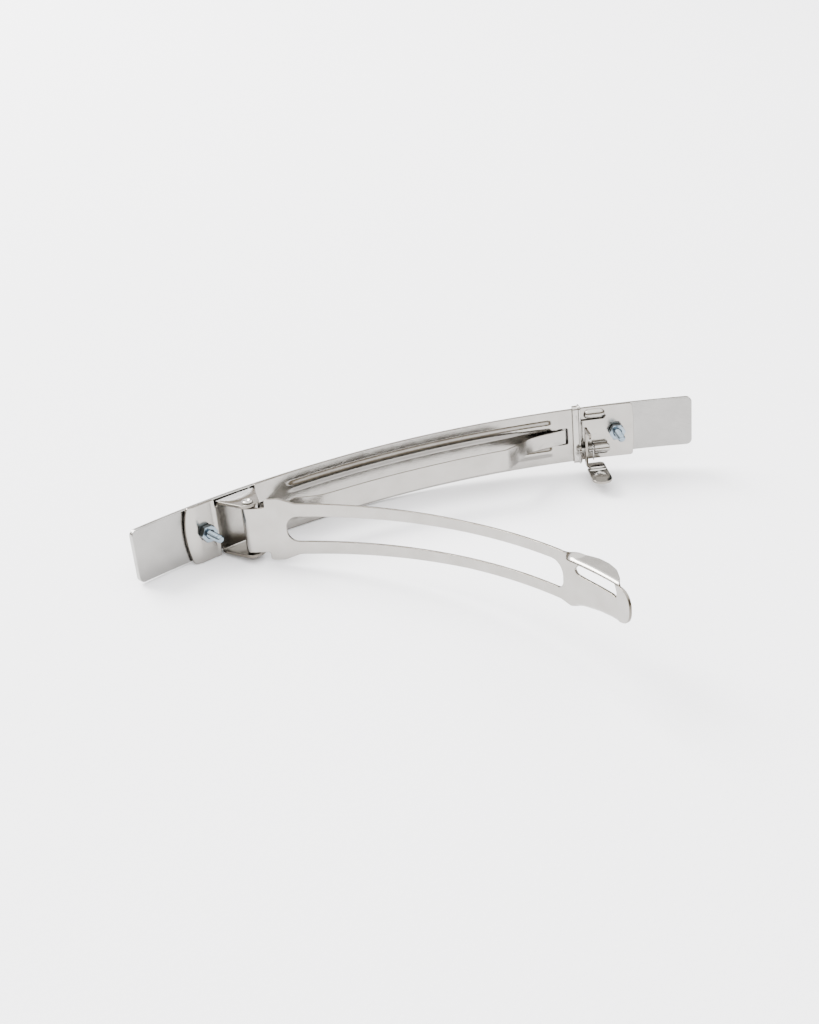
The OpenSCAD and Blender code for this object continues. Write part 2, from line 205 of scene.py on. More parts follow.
def finish_mesh(name, points, normals, faces, edge=None, flat=None):
    """An object from points in millimetres, with smooth normals and the attributes that the metals read."""
    mesh = bpy.data.meshes.new(name)
    mesh.from_pydata((np.asarray(points) * MM).tolist(), [], faces)
    mesh.update()
    for face in mesh.polygons:
        face.use_smooth = True
    if normals is not None:
        mesh.normals_split_custom_set_from_vertices(np.asarray(normals).tolist())
    edge = np.zeros(len(points)) if edge is None else np.asarray(edge)
    flat = np.asarray(points) if flat is None else np.asarray(flat)
    edge_data = mesh.attributes.new("edge", "FLOAT", "POINT").data
    edge_data.foreach_set("value", edge.astype(np.float32))
    flat_data = mesh.attributes.new("flat", "FLOAT_VECTOR", "POINT").data
    flat_data.foreach_set("vector", flat.astype(np.float32).ravel())
    piece = bpy.data.objects.new(name, mesh)
    bpy.context.scene.collection.objects.link(piece)
    return piece


def bend(flat, normals, place):
    """Moves flat points by place() and turns their normals with it."""
    e = 1e-3
    axes = [(place(flat + e * axis) - place(flat - e * axis)) / (2 * e) for axis in np.eye(3)]
    ahead, across, out = axes
    bent = (normals[:, :1] * np.cross(across, out) + normals[:, 1:2] * np.cross(out, ahead)
            + normals[:, 2:] * np.cross(ahead, across))
    return place(flat), bent / np.linalg.norm(bent, axis=1)[:, None]


def seed_points(outline, rims, step, rows, fine):
    """Points within a sheet's plan, in rows and in closer boxes, that stay clear of its rims."""
    rim_gap = 0.12
    least, most = min(p[0] for p in outline), max(p[0] for p in outline)
    grid = [(u, v) for v in rows for u in np.arange(least, most, step)]
    for u0, u1, v0, v1, close in fine:
        grid += [(u, v) for u in np.arange(u0, u1 + 1e-6, close) for v in np.arange(v0, v1 + 1e-6, close)]
    seeds = np.array(sorted(set((round(float(u), 4), round(float(v), 4)) for u, v in grid))).reshape(-1, 2)
    if len(seeds) == 0:
        return seeds
    seeds = seeds[inside(seeds, rims[0])]
    for rim in rims[1:]:
        seeds = seeds[~inside(seeds, rim)]
    return seeds[clear_of(seeds, rims, rim_gap)]


def triangulate(rims, seeds):
    """Triangles between a sheet's rims: the plan's points, the faces, and each rim point's plan point."""
    given, edges, start = [], [], 0
    for rim in rims:
        given += [Vector(p) for p in rim.tolist()]
        edges += [(start + i, start + (i + 1) % len(rim)) for i in range(len(rim))]
        start += len(rim)
    given += [Vector(p) for p in seeds.tolist()]
    verts, _, faces, origin, _, _ = delaunay_2d_cdt(given, edges, [], 0, 1e-5)
    plan = np.array([tuple(v) for v in verts])
    faces = [tuple(f) for f in faces]
    middles = np.array([plan[list(f)].mean(0) for f in faces])
    keep = inside(middles, rims[0])
    for rim in rims[1:]:
        keep &= ~inside(middles, rim)
    faces = [f for f, k in zip(faces, keep) if k]
    used = {i: k for k, i in enumerate(sorted(set(i for f in faces for i in f)))}
    place_of = {g: used[i] for i, group in enumerate(origin) for g in group if i in used}
    faces = [tuple(used[i] for i in f) for f in faces]
    return plan[sorted(used)], faces, place_of


def sheet(name, outline, holes, thick, place, bevel=0.1, step=1.0, rows=(), fine=()):
    """A stamped sheet: outline counter-clockwise, holes clockwise, rounded edges, bent by place(). rows are
    values of v that get a line of points, and fine holds boxes (u0, u1, v0, v1, step) of closer points."""
    loops = [refine(outline, step)] + [refine(hole, step) for hole in holes]
    shapes = [edge_frames(loop) for loop in loops]
    rims = [p - out * (miter * bevel)[:, None] for p, out, miter in shapes]
    plan, faces, place_of = triangulate(rims, seed_points(loops[0], rims, step, rows, fine))
    count = len(plan)
    half = thick / 2
    flat = [np.column_stack([plan, np.full(count, half)]), np.column_stack([plan, np.full(count, -half)])]
    normal = [np.tile((0.0, 0.0, 1.0), (count, 1)), np.tile((0.0, 0.0, -1.0), (count, 1))]
    edge = [np.zeros(2 * count)]
    faces += [tuple(count + i for i in reversed(f)) for f in faces]
    total, start = 2 * count, 0
    arcs = [math.radians(a) for a in (30, 60, 90)]
    stack = [(a, 1) for a in arcs] + [(a, -1) for a in reversed(arcs)]
    for p, out, miter in shapes:
        size = len(p)
        rings = [[place_of[start + i] for i in range(size)]]
        for angle, side in stack:
            inset = bevel * (1 - math.sin(angle))
            height = side * (half - bevel * (1 - math.cos(angle)))
            flat.append(np.column_stack([p - out * (miter * inset)[:, None], np.full(size, height)]))
            normal.append(np.column_stack([out * math.sin(angle), np.full(size, side * math.cos(angle))]))
            edge.append(np.ones(size))
            rings.append(list(range(total, total + size)))
            total += size
        rings.append([count + place_of[start + i] for i in range(size)])
        for upper, lower in zip(rings, rings[1:]):
            faces += [(upper[i], lower[i], lower[(i + 1) % size], upper[(i + 1) % size]) for i in range(size)]
        start += size
    flat = np.vstack(flat)
    points, normals = bend(flat, np.vstack(normal), place)
    return finish_mesh(name, points, normals, faces, np.concatenate(edge), flat)


def swept(name, rings, place, sharp, round_again=False):
    """A closed surface through rings of equal size, in the local frame that place() puts in the clip. Its
    ends are capped, or with round_again they meet. Edges beyond sharp degrees stay sharp."""
    size = len(rings[0])
    total = len(rings)
    points = np.vstack([np.array(r, float) for r in rings])
    faces = []
    for k in range(total if round_again else total - 1):
        a = k * size
        b = (k + 1) % total * size
        faces += [(a + i, a + (i + 1) % size, b + (i + 1) % size, b + i) for i in range(size)]
    if not round_again:
        faces.append(tuple(reversed(range(size))))
        faces.append(tuple(range(len(points) - size, len(points))))
    piece = finish_mesh(name, place(points), None, faces, None, points)
    piece.data.set_sharp_from_angle(angle=math.radians(sharp))
    return piece


def round_ring(radius, height, count):
    """A ring of points about the local third axis."""
    angles = [2 * math.pi * k / count for k in range(count)]
    return [(radius * math.cos(a), radius * math.sin(a), height) for a in angles]


def lathe(name, profile, place, count=40):
    """A turned piece: profile is (radius, height) from one end to the other, about the local third axis."""
    return swept(name, [round_ring(r, h, count) for r, h in profile], place, sharp=40)


def join(name, pieces):
    """One object from several."""
    bpy.ops.object.select_all(action="DESELECT")
    for piece in pieces:
        piece.select_set(True)
    bpy.context.view_layer.objects.active = pieces[0]
    bpy.ops.object.join()
    pieces[0].name = name
    pieces[0].data.name = name
    return pieces[0]


# Places in the clip

def on_plate(flat):
    """Flat coordinates along the plate to the clip; n = 0 is the plate's mid-thickness."""
    angle = flat[:, 0] / PLATE_R
    r = PLATE_R - PLATE_T / 2 - flat[:, 2]
    return np.column_stack([r * np.sin(angle), r * np.cos(angle) - PLATE_R, flat[:, 1]])


def over_base(s, h, z):
    """A point at arc length s along the base, height h over its hair side and z across."""
    angle = s / BASE_R
    r = BASE_R - h
    return np.column_stack([r * np.sin(angle), r * np.cos(angle) - BASE_CY, z])


def in_clasp(x, h, z):
    """A point in the clasp's straight frame: x along the clip, h over the base, z across."""
    a = CLASP_S / BASE_R
    return np.column_stack([BASE_R * math.sin(a) + x * math.cos(a) - h * math.sin(a),
                            BASE_R * math.cos(a) - BASE_CY - x * math.sin(a) - h * math.cos(a), z])


def nut_seat(s):
    """Height of a nut's seat over the plate's back."""
    angle = s / PLATE_R
    x = PLATE_R * math.sin(angle)
    plate_back = math.sqrt((PLATE_R - PLATE_T) ** 2 - x * x) - PLATE_R
    base_face = math.sqrt(BASE_R ** 2 - x * x) - BASE_CY
    return (plate_back - base_face) * math.cos(angle) + NUT_GAP


def stud_on_base(s):
    """Arc length along the base at which a stud goes through its sheet."""
    x = (PLATE_R - PLATE_T - nut_seat(s) + BASE_T / 2) * math.sin(s / PLATE_R)
    return BASE_R * math.asin(x / BASE_R)


def on_stud(s):
    """Place for a turned piece on a stud: local z runs from the plate's back towards the hair side."""
    angle = s / PLATE_R

    def place(p):
        r = PLATE_R - PLATE_T - p[:, 2]
        x = p[:, 0]
        return np.column_stack([r * math.sin(angle) + x * math.cos(angle),
                                r * math.cos(angle) - PLATE_R - x * math.sin(angle), p[:, 1]])
    return place


def smooth(t):
    """0 below 0, 1 above 1 and smooth between."""
    t = np.clip(t, 0, 1)
    return t * t * (3 - 2 * t)


def fold_up(v, n, line, radius, sign, angle=math.pi / 2):
    """Folds what lies beyond |v| = line through an angle; sign +1 folds towards +n and -1 towards -n."""
    side = np.where(v < 0, -1.0, 1.0)
    w = np.abs(v) - line
    length = radius * angle
    theta = np.clip(w, 0, length) / radius
    past = np.clip(w - length, 0, None)
    m = sign * n
    z = np.where(w < 0, np.abs(v), line + (radius - m) * np.sin(theta) + past * np.cos(angle))
    rise = np.where(w < 0, m, radius - (radius - m) * np.cos(theta) + past * np.sin(angle))
    return side * z, sign * rise


# The pieces

def make_plate():
    """The curved cover plate with rounded corners."""
    corner = 1.2
    outline = fillet([(-PLATE_HALF, -PLATE_HALF_W, corner), (PLATE_HALF, -PLATE_HALF_W, corner),
                      (PLATE_HALF, PLATE_HALF_W, corner), (-PLATE_HALF, PLATE_HALF_W, corner)])
    return sheet("plate", outline, [], PLATE_T, on_plate, bevel=0.14, step=1.6, rows=(-3.6, -1.2, 1.2, 3.6))


EAR_LINE = 4.8
EAR_FOLD = 0.5
EAR_SPAN = (HINGE_S - 4.0, HINGE_S + 4.9)


def ear_v(h):
    """Flat distance from the clip's middle to height h on an ear."""
    return EAR_LINE + EAR_FOLD * math.pi / 2 - EAR_FOLD + h + BASE_T / 2


RIB_Z = 3.0
RIB_ENDS = (-29.0, 32.0)
STEP_LEFT = -45.4
STEP_RIGHT = 36.9
STEP_RUN = 0.6
GUIDE_Z = 4.4
GUIDE_EDGE = 3.4


def ribs(u, v):
    """The two stiffening ribs as a share of their height, with sloping sides and ends."""
    top, foot, left_run, right_run = 0.15, 1.35, 2.5, 0.8
    across = smooth((foot - np.abs(np.abs(v) - RIB_Z)) / (foot - top))
    return across * smooth((u - RIB_ENDS[0]) / left_run) * smooth((RIB_ENDS[1] - u) / right_run)


def lanced_guide(u, v):
    """The pill-shaped guide by the clasp, as a share of its height: lanced along its inner side."""
    left, right, radius, foot = -0.9, 1.7, 1.05, 0.25
    x = u - CLASP_S
    pill = np.clip(1 - np.hypot(x - np.clip(x, left, right), v - GUIDE_Z) / radius, 0, 1)
    return np.sqrt(np.clip(1 - (1 - pill) ** 2, 0, 1)) * smooth(pill / foot) * (v > GUIDE_EDGE)


def base_relief(u, v):
    """How far the base's sheet is pressed towards the hair side."""
    rib_h, guide_h, step_h, curl_h = 0.4, 0.85, 0.12, 0.62
    curl_start, curl_run = -49.4, 2.4
    steps = (smooth((STEP_LEFT + STEP_RUN / 2 - u) / STEP_RUN)
             + smooth((u - STEP_RIGHT + STEP_RUN / 2) / STEP_RUN))
    end_curl = smooth((curl_start - u) / curl_run)
    return rib_h * ribs(u, v) + guide_h * lanced_guide(u, v) - step_h * steps - curl_h * end_curl


def on_base(flat):
    """Flat coordinates along the base to the clip, with the ears folded up; n = 0 is the sheet's middle."""
    u, v, n = flat.T
    ears = (u > EAR_SPAN[0]) & (u < EAR_SPAN[1]) & (np.abs(v) > EAR_LINE)
    folded_z, folded_n = fold_up(v, n, EAR_LINE, EAR_FOLD, 1)
    z = np.where(ears, folded_z, v)
    height = np.where(ears, folded_n, n + base_relief(u, v))
    return over_base(u, height - BASE_T / 2, z)


def base_side(sign):
    """The base's outline along one long side, from left to right, as corners."""
    foot_left, foot_right = EAR_SPAN[0] + 0.2, EAR_SPAN[1] - 0.2
    notch_left, notch_right = EAR_SPAN[0] - 0.25, EAR_SPAN[1] + 0.25
    notch_z, notch_r = 4.35, 0.18
    foot_v, top_v, top_half, top_r = ear_v(0.9), ear_v(7.2), 1.75, 1.7
    bulge = 0.9
    end = [(BASE_LEFT - bulge * (1 - (v / BASE_HALF_W) ** 2), v, 0) for v in (0.6, 2, 3.4, 4.8)]
    corners = end + [
        (BASE_LEFT, BASE_HALF_W, 0.6), (notch_left, BASE_HALF_W, 0.25), (notch_left, notch_z, notch_r),
        (foot_left, notch_z, notch_r), (foot_left, foot_v, 0.6), (HINGE_S - top_half, top_v, top_r),
        (HINGE_S + top_half, top_v, top_r), (foot_right, foot_v, 0.6), (foot_right, notch_z, notch_r),
        (notch_right, notch_z, notch_r), (notch_right, BASE_HALF_W, 0.25),
        (BASE_RIGHT - 0.3, BASE_HALF_W, 0.6), (BASE_RIGHT, 2.5, 6)]
    return [(u, sign * v, r) for u, v, r in corners]


def base_holes():
    """Stud holes, bow slots, pin holes, the cut beside the lanced guide and the barrel's own opening."""
    stud_play, slot_half, slot_half_w, pin_play = 0.15, 1.2, 1.85, 0.04
    cut_in = GUIDE_EDGE - 0.3
    holes = [circle(stud_on_base(s), 0, THREAD_R + stud_play) for s in (LEFT_STUD_S, RIGHT_STUD_S)]
    for s in (-BOW_SLOT_S, BOW_SLOT_S):
        holes.append(slot(s - slot_half, s + slot_half, -slot_half_w, slot_half_w, 0.4))
    holes += [circle(HINGE_S, side * ear_v(HINGE_H), PIN_R + pin_play) for side in (-1, 1)]
    guide_cut = [(-2.5, cut_in, 0.1), (-2.5, GUIDE_EDGE, 0.1), (2.3, GUIDE_EDGE, 0.3), (2.75, 3.95, 0.1),
                 (3.0, 3.8, 0.1), (2.5, cut_in, 0.4)]
    holes.append(fillet([(CLASP_S + x, v, r) for x, v, r in guide_cut]))
    holes.append(slot(CLASP_S - 0.15, CLASP_S + 3.1, -4.9, -2.75, 0.25))
    return holes


def make_base():
    """The base frame: the stamping with its ears, ribs and guide, and the rolled barrel."""
    outline = fillet(base_side(-1) + base_side(1)[::-1])
    rib_rows = [side * (RIB_Z + 0.2 * k) for side in (-1, 1) for k in range(-7, 8)]
    rows = rib_rows + [-5.4, -4.7, -1.0, 0, 1.0, 4.7, 5.4]
    guide = (CLASP_S - 2.6, CLASP_S + 4, 3.2, 5.7, 0.2)
    steps = [(s - 0.45, s + 0.45, -5.8, 5.8, 0.3) for s in (STEP_LEFT, STEP_RIGHT)]
    body = sheet("base_sheet", outline, base_holes(), BASE_T, on_base, bevel=0.1, step=1.0, rows=rows,
                 fine=[guide] + steps)
    return join("base", [body, make_barrel()])


def along(path):
    """A function from the length run along a path of (x, y) points to the place and direction there, and the
    run at each point."""
    table = np.array(path, float)
    run = np.concatenate([[0], np.cumsum(np.linalg.norm(np.diff(table, axis=0), axis=1))])

    def at(u):
        d = 1e-3
        u = np.clip(u, 0, run[-1])
        x = np.interp(u, run, table[:, 0])
        y = np.interp(u, run, table[:, 1])
        dx = np.interp(u + d, run, table[:, 0]) - np.interp(u - d, run, table[:, 0])
        dy = np.interp(u + d, run, table[:, 1]) - np.interp(u - d, run, table[:, 1])
        length = np.hypot(dx, dy)
        return x, y, dx / length, dy / length
    return at, run


def arc_points(cx, cy, r, a0, a1, count=24):
    """Points on an arc, angles in degrees."""
    return [(cx + r * math.cos(math.radians(a0 + (a1 - a0) * k / count)),
             cy + r * math.sin(math.radians(a0 + (a1 - a0) * k / count))) for k in range(count + 1)]


def make_barrel():
    """The lip rolled from the base round the lever's pin, with its path in (z, h)."""
    thick, foot_r, lead, turn = 0.42, 0.3, 0.5, 285
    left, right = -0.05, 3.0
    mid_r = LEVER_PIN_R + PIN_PLAY + thick / 2
    wall = LEVER_Z + mid_r
    path = [(wall + foot_r + lead, -BASE_T / 2)]
    path += arc_points(wall + foot_r, -BASE_T / 2 + foot_r, foot_r, -90, -180, 8)
    path += arc_points(LEVER_Z, LEVER_H, mid_r, 0, turn, 40)
    at, run = along(path)

    def place(flat):
        z, h, dz, dh = at(flat[:, 0])
        n = flat[:, 2]
        return in_clasp(flat[:, 1], h - n * dz, z + n * dh)
    outline = fillet([(0, left, 0.1), (run[-1], left, 0.15), (run[-1], right, 0.15), (0, right, 0.1)])
    return sheet("barrel", outline, [], thick, place, bevel=0.06, step=0.14, rows=np.arange(0.3, right, 0.5))


def bow_path():
    """The bow's middle line in the clip's plane, a cubic over each span of its profile, and its stations."""
    s, h = np.array(BOW_PROFILE, float).T
    slope = np.gradient(h, s)
    parts, steepest = 16, 2.2
    fine_s, fine_h = [], []
    for i in range(len(s) - 1):
        span = s[i + 1] - s[i]
        secant = (h[i + 1] - h[i]) / span
        starts, ends = (np.sign(secant) * min(abs(m), steepest * abs(secant)) for m in slope[i:i + 2])
        for t in np.linspace(0, 1, parts, endpoint=False):
            fine_s.append(s[i] + span * t)
            fine_h.append((2 * t ** 3 - 3 * t ** 2 + 1) * h[i] + (t ** 3 - 2 * t ** 2 + t) * span * starts
                          + (-2 * t ** 3 + 3 * t ** 2) * h[i + 1] + (t ** 3 - t ** 2) * span * ends)
    fine_s.append(s[-1])
    fine_h.append(h[-1])
    points = over_base(np.array(fine_s), np.array(fine_h), np.zeros(len(fine_s)))
    return points[:, :2], np.array(fine_s)


def make_bow():
    """The arched spring: a strip with a tongue at each end."""
    points, stations = bow_path()
    at, run = along(points)
    wide, tongue = 2.25, 1.6
    left_shoulder, right_shoulder, left_taper, right_taper = -29.0, 20.4, 1.2, 6
    left = float(np.interp(left_shoulder, stations, run))
    right = float(np.interp(right_shoulder, stations, run))

    def place(flat):
        x, y, dx, dy = at(flat[:, 0])
        n = flat[:, 2]
        return np.column_stack([x + n * dy, y - n * dx, flat[:, 1]])
    half = [(0, tongue, 0.2), (left - left_taper, tongue, 0.4), (left, wide, 0.4), (right, wide, 1.5),
            (right + right_taper, tongue, 1.5), (run[-1], tongue, 0.2)]
    outline = fillet([(u, -v, r) for u, v, r in half] + half[::-1])
    return sheet("bow", outline, [], BOW_T, place, bevel=0.08, step=0.7, rows=(-1.4, 0, 1.4))


ARM_CENTRE = (PIN.x - (ARM_R + KNUCKLE_MID) * math.sin(-REST_SLOPE),
              PIN.y - (ARM_R + KNUCKLE_MID) * math.cos(-REST_SLOPE))
CAP_START = 66.9
CAP_FOLD = 0.6
UPPER_LINE = 3.025
LOWER_LINE = [(66.5, 4.5), (68.5, 4.4), (71.7, 3.6), (75.6, 2.95), (78.8, 2.65), (81.5, 2.6)]


def lower_line(u):
    """Distance from the arm's middle to the start of the cap's lower fold."""
    stations, distances = np.transpose(LOWER_LINE)
    return np.interp(u, stations, distances)


def upper_v(depth):
    """Flat distance from the arm's middle to a depth on the upper cap flange."""
    return UPPER_LINE + CAP_FOLD * (math.pi / 2 - 1) + depth


def lower_v(u, depth):
    """Flat distance from the arm's middle to a depth on the lower cap flange."""
    return float(lower_line(u)) + CAP_FOLD * (math.pi / 2 - 1) + depth


def fold_angle(u, start, run_in, end, run_out):
    """How far a cap flange is folded at u: nothing outside start..end and square between the two runs."""
    return math.pi / 2 * smooth((u - start) / run_in) * smooth((end - u) / run_out)


def on_arm(flat):
    """Flat coordinates along the arm to the clip: knuckle rolled at u < 0 and the cap's flanges folded."""
    u, v, n = flat.T
    upper_angle = fold_angle(u, CAP_START, 2.8, 81.9, 1.9)
    lower_angle = fold_angle(u, CAP_START + 1.7, 3.2, 81.4, 1.6)
    upper_z, upper_n = fold_up(v, n, UPPER_LINE, CAP_FOLD, -1, upper_angle)
    lower_z, lower_n = fold_up(v, n, lower_line(u), CAP_FOLD, -1, lower_angle)
    cap = u > CAP_START
    z = np.where(cap, np.where(v > 0, upper_z, lower_z), v)
    n = np.where(cap, np.where(v > 0, upper_n, lower_n), n)
    start = -REST_SLOPE
    angle = start + np.clip(u, 0, None) / ARM_R
    arm_x = ARM_CENTRE[0] + (ARM_R - n) * np.sin(angle)
    arm_y = ARM_CENTRE[1] + (ARM_R - n) * np.cos(angle)
    roll = start - np.clip(u, None, 0) / KNUCKLE_MID
    roll_x = PIN.x - (KNUCKLE_MID + n) * np.sin(roll)
    roll_y = PIN.y - (KNUCKLE_MID + n) * np.cos(roll)
    rolled = u < 0
    return np.column_stack([np.where(rolled, roll_x, arm_x), np.where(rolled, roll_y, arm_y), z])


def arm_side(sign, cap):
    """The arm's outline along one long side, from the knuckle to the tip, as corners."""
    roll, knuckle_half, shoulder_half, rail_half = math.radians(292), 4.7, 6.5, 4.75
    side = [(-KNUCKLE_MID * roll, knuckle_half, 0.2), (3.4, knuckle_half, 0.5),
            (3.4, shoulder_half - 0.3, 0.3), (4.0, shoulder_half, 0.5), (6.2, shoulder_half, 1.5),
            (9.4, 5.35, 2.5), (45, rail_half, 0), (66.0, rail_half, 1.0)]
    return [(u, sign * v, r) for u, v, r in side + cap]


def arm_tip():
    """The arm's rounded end, a superellipse, as corners from its upper side round to its lower side."""
    centre_u, centre_v, reach, half_w, power = 81.2, 0.15, 3.1, 3.25, 0.85
    angles = [math.radians(84 - 12 * k) for k in range(15)]
    return [(centre_u + reach * math.cos(a) ** power,
             centre_v + half_w * math.copysign(abs(math.sin(a)) ** power, math.sin(a)), 0) for a in angles]


def make_arm():
    """The clamp arm: knuckle, shoulders, rails round the long slot, and the cap with its catch window."""
    upper = [(68.0, upper_v(1.3), 1.5), (69.6, upper_v(2.8), 2), (72.2, upper_v(3.45), 3),
             (74.6, upper_v(3.4), 3), (77.0, upper_v(2.85), 3), (79.6, upper_v(1.4), 2),
             (80.7, upper_v(0.5), 0.4), (81.3, 3.35, 0.5)]
    lower = [(68.4, 5.3, 1.5), (70.4, lower_v(70.4, 0.6), 1.5), (74.0, lower_v(74.0, 1.6), 3),
             (78.4, lower_v(78.4, 1.4), 3), (80.6, lower_v(80.6, 0.4), 0.5), (81.2, 3.2, 0.4)]
    outline = fillet(arm_side(-1, lower) + arm_tip()[::-1] + arm_side(1, upper)[::-1])
    slot_left, slot_right, slot_half = 7.3, 66.8, 2.65
    long_slot = fillet([(slot_left, -slot_half, 2.3), (slot_left, slot_half, 2.3),
                        (slot_right, slot_half, 2.6), (slot_right, -slot_half, 1.6)])
    window = fillet([(69.7, 2.2, 0.5), (70.6, 3.2, 0.5), (80.2, 3.3, 0.5), (80.7, 2.2, 0.5), (80.6, 1.0, 0.3),
                     (79.4, 1.25, 0.4), (72.4, 1.3, 1), (70.4, 1.5, 0.6)])
    return sheet("arm", outline, [long_slot, window], ARM_T, on_arm, bevel=0.1, step=0.9,
                 rows=(-5.8, -4, -3.2, -1.5, 0, 0.6, 3.2, 3.7, 4.0, 5.8),
                 fine=[(-6, 0.4, -4.4, 4.4, 0.5), (66.6, 82.2, -6.6, -2.4, 0.3), (66.6, 82.2, 2.2, 7.2, 0.3)])


def make_strap():
    """The band clinched round the base beside the clasp: its path is in (z, h), and a bead runs along it."""
    thick, seat, bend_r, drop = 0.45, 0.08, 0.35, 0.95
    leg = BASE_HALF_W + 0.26
    top = seat + thick / 2
    left, right = -4.4, -2.6
    bead, bead_h, bead_half = -2.98, 0.3, 0.22
    path = [(leg, -drop)]
    path += arc_points(leg - bend_r, top - bend_r, bend_r, 0, 90, 8)
    path += [(p * leg / 6, top) for p in (4, 2, 0, -2, -4)]
    path += arc_points(-leg + bend_r, top - bend_r, bend_r, 90, 180, 8)
    path += [(-leg, -drop)]
    at, run = along(path)

    def place(flat):
        z, h, dz, dh = at(flat[:, 0])
        n = flat[:, 2] + bead_h * np.exp(-((flat[:, 1] - bead) / bead_half) ** 4)
        return in_clasp(flat[:, 1], h - n * dz, z + n * dh)
    outline = fillet([(0, left, 0.2), (run[-1], left, 0.2), (run[-1], right, 0.2), (0, right, 0.2)])
    return sheet("strap", outline, [], thick, place, bevel=0.09, step=0.25, rows=np.arange(-4.2, -2.6, 0.1))


def make_pin_ear():
    """The ear of the band that holds the lever's pin, drawn in (-z, h)."""
    x, thick, half, foot = -3.15, 0.45, 0.95, 0.3
    mid = -LEVER_Z

    def place(flat):
        return in_clasp(x - flat[:, 2], flat[:, 1], -flat[:, 0])
    outline = fillet([(mid - half, foot, 0.05), (mid + half, foot, 0.05), (mid + half, LEVER_H + half, 0.9),
                      (mid - half, LEVER_H + half, 0.9)])
    hole = circle(mid, LEVER_H, LEVER_PIN_R + PIN_PLAY)
    return sheet("ear", outline, [hole], thick, place, bevel=0.07, step=0.4)


def make_band():
    """The catch band: the clinched strap and its pin ear."""
    return join("band", [make_strap(), make_pin_ear()])


def tab_lift(a, b):
    """How far the lever's tab is pressed outwards: two beads across its root and a dished thumb rest."""
    middle, bead_half, bead_h, dish_half, dish_depth = 10.7, 2.2, 0.26, 1.5, 0.3
    bead_run, dish_run, dish_start, start = 0.28, 0.35, 5.6, 2.4
    beads = sum(bead_h * np.exp(-((b - at) / bead_run) ** 2) for at in (3.4, 4.5))
    dish_line = np.abs(a - middle) * 0.9 + dish_start
    dish = dish_depth * np.exp(-((b - dish_line) / dish_run) ** 2)
    lift = (beads * np.sqrt(np.clip(1 - ((a - middle) / bead_half) ** 2, 0, 1))
            - dish * np.clip(1 - ((a - middle) / dish_half) ** 2, 0, 1))
    return lift * (b > start)


def make_lever():
    """The release lever, drawn flat as web and tab: a runs along the web and round the fold, b is height."""
    web_x, post_z = -2.0, 2.35
    fold_z, fold_r = -6.2, 0.5
    fold_a = post_z - fold_z
    fold_len = fold_r * math.pi / 2
    tab_z = fold_z - fold_r
    relief_b, tab_a = 2.85, 6
    lean = math.tan(math.radians(5))
    foot = 0.9
    thick = 0.5

    def place(flat):
        a, b, n = flat.T
        tab = (b > relief_b) & (a > tab_a)
        theta = np.clip(a - fold_a, 0, fold_len) / fold_r
        past = a - fold_a - fold_len
        in_fold = (a > fold_a) & (a < fold_a + fold_len)
        on_tab = (past >= 0) | tab
        x = np.where(in_fold, web_x + fold_r - (fold_r + n) * np.cos(theta), web_x - n)
        z = np.where(in_fold, fold_z - (fold_r + n) * np.sin(theta), post_z - a)
        x = np.where(on_tab, web_x + fold_r + past, x)
        z = np.where(on_tab, tab_z - n - tab_lift(a, b), z)
        tilt = lean * (b - foot) * smooth((a - fold_a + 0.1) / (fold_len + 0.2)) * (a > tab_a)
        tilt = np.where(tab, lean * (b - foot), tilt)
        return in_clasp(x, b, z - tilt)
    left, right, top, web_top, neck = 8.6, 12.75, 10.3, 2.6, 9.45
    tab = [(7.0, foot, 0.5), (right, foot, 0.9), (right + 0.1, top, 2.05), (left - 0.1, top, 2.05),
           (left, relief_b + 0.3, 0.5), (neck, relief_b + 0.3, 0.15), (neck, web_top, 0.15)]
    hook = [(1.05, web_top, 0.5), (0.75, 5.85, 0.08), (1.5, 5.85, 0.1), (0.75, 6.5, 0.25), (0, 6.5, 0.2)]
    web_foot = [(0, 1.8, 0.2), (3.55, 1.55, 0.5), (4.75, 0.2, 0.7), (6.3, 0.2, 0.7)]
    hole = circle(post_z - LEVER_Z, LEVER_H, LEVER_PIN_R + 2 * PIN_PLAY)
    return sheet("lever", fillet(web_foot + tab + hook), [hole], thick, place, bevel=0.08, step=0.35,
                 fine=[(8.3, 13, 2.2, 10.2, 0.22), (8.4, 9.5, 1.0, 2.5, 0.2)])


def make_hinge_pin():
    """Pin through the ears, its ends upset into dished heads."""
    end = EAR_IN + 0.62
    head = [(0.001, end + 0.16), (0.3, end + 0.18), (0.5, end + 0.34), (0.75, end + 0.42), (0.98, end + 0.34),
            (1.1, end + 0.18), (1.08, end + 0.02), (PIN_R, end)]
    profile = [(r, -h) for r, h in head] + [(r, h) for r, h in head[::-1]]

    def place(p):
        return np.column_stack([PIN.x + p[:, 0], PIN.y + p[:, 1], p[:, 2]])
    return lathe("hinge_rivet", profile, place)


def along_clasp(p):
    """Place for what turns about the lever's axis: local z runs along the clip."""
    return in_clasp(p[:, 2], LEVER_H - p[:, 0], LEVER_Z + p[:, 1])


def make_lever_pin():
    """Pin through the barrel and the band's ear, with a low head at each end."""
    left, right, head_r, head_t = -3.42, 3.02, 0.75, 0.33
    profile = [(0.001, left - head_t + 0.08), (0.3, left - head_t), (0.55, left - head_t + 0.02),
               (head_r, left - 0.16), (head_r, left - 0.02), (LEVER_PIN_R, left),
               (LEVER_PIN_R, right), (head_r, right + 0.02), (head_r, right + 0.16),
               (0.55, right + head_t - 0.02), (0.3, right + head_t), (0.001, right + head_t - 0.08)]
    return lathe("lever_rivet", profile, along_clasp, 32)


